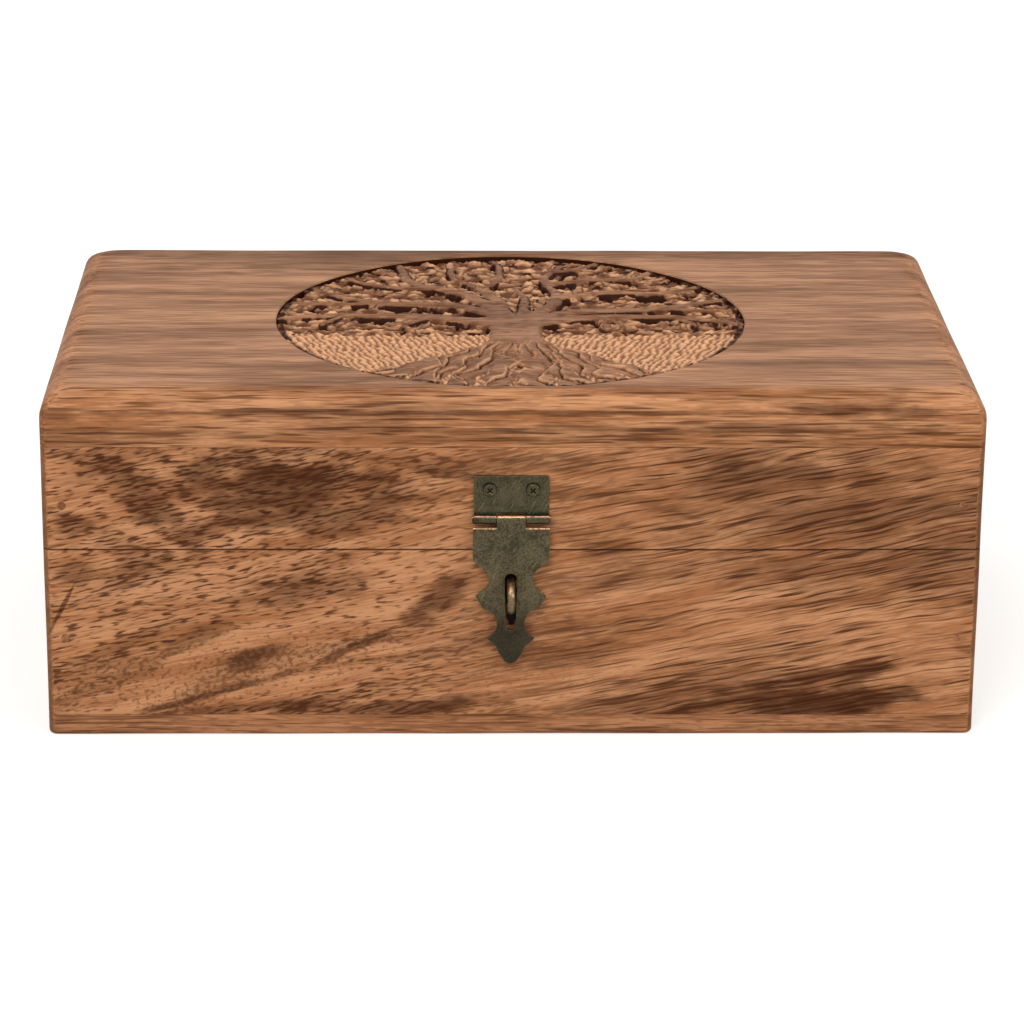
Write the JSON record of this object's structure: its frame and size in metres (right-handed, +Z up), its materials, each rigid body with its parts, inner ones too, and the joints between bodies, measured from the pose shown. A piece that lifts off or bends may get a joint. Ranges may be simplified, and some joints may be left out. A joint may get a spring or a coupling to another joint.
{
  "type": "keepsake box",
  "caption": "Rectangular wooden box with a hinged lid, a round tree-of-life carving in its top board and a brass hasp that swings over a staple.",
  "frame": {"origin": "middle of the underside of the bottom board", "axes": "+X to the box's right seen from the front, -Y towards the front with the hasp, +Z up"},
  "size_m": [0.254, 0.1648, 0.098],
  "materials": {
    "boards": "satin, smoky grain",
    "carved_top": "satin, carved and stained",
    "hasp_brass": "antique, worn on edges",
    "hinge_brass": "antique",
    "nail_iron": "dark, dull"
  },
  "bodies": {
    "base": {"base_bottom": "boards", "base_front": "boards", "base_back": "boards", "base_left": "boards", "base_right": "boards", "base_corner_nails": "nail_iron", "bottom_nails": "nail_iron", "staple": "hasp_brass", "hinge_left_base_leaf": "hinge_brass", "hinge_right_base_leaf": "hinge_brass", "hinge_left_pin": "hinge_brass", "hinge_right_pin": "hinge_brass", "hinge_base_screws": "hinge_brass"},
    "lid": {"lid_top": "carved_top", "lid_front": "boards", "lid_back": "boards", "lid_left": "boards", "lid_right": "boards", "lid_corner_nails": "nail_iron", "hinge_left_lid_leaf": "hinge_brass", "hinge_right_lid_leaf": "hinge_brass", "hinge_lid_screws": "hinge_brass", "hasp_plate": "hasp_brass", "hasp_pin": "hasp_brass", "hasp_screws": "hasp_brass"},
    "hasp": {"hasp_strap": "hasp_brass"}
  },
  "joints": [
    {"name": "lid_hinge", "type": "hinge", "parent": "base", "child": "lid", "pos_m": [0, 0.0778, 0.054], "axis": [-1, 0, 0], "range_deg": [0, 180]},
    {"name": "hasp_swing", "type": "hinge", "parent": "lid", "child": "hasp", "pos_m": [-0.0006, -0.07745, 0.0633], "axis": [-1, 0, 0], "range_deg": [0, 150]}
  ]
}
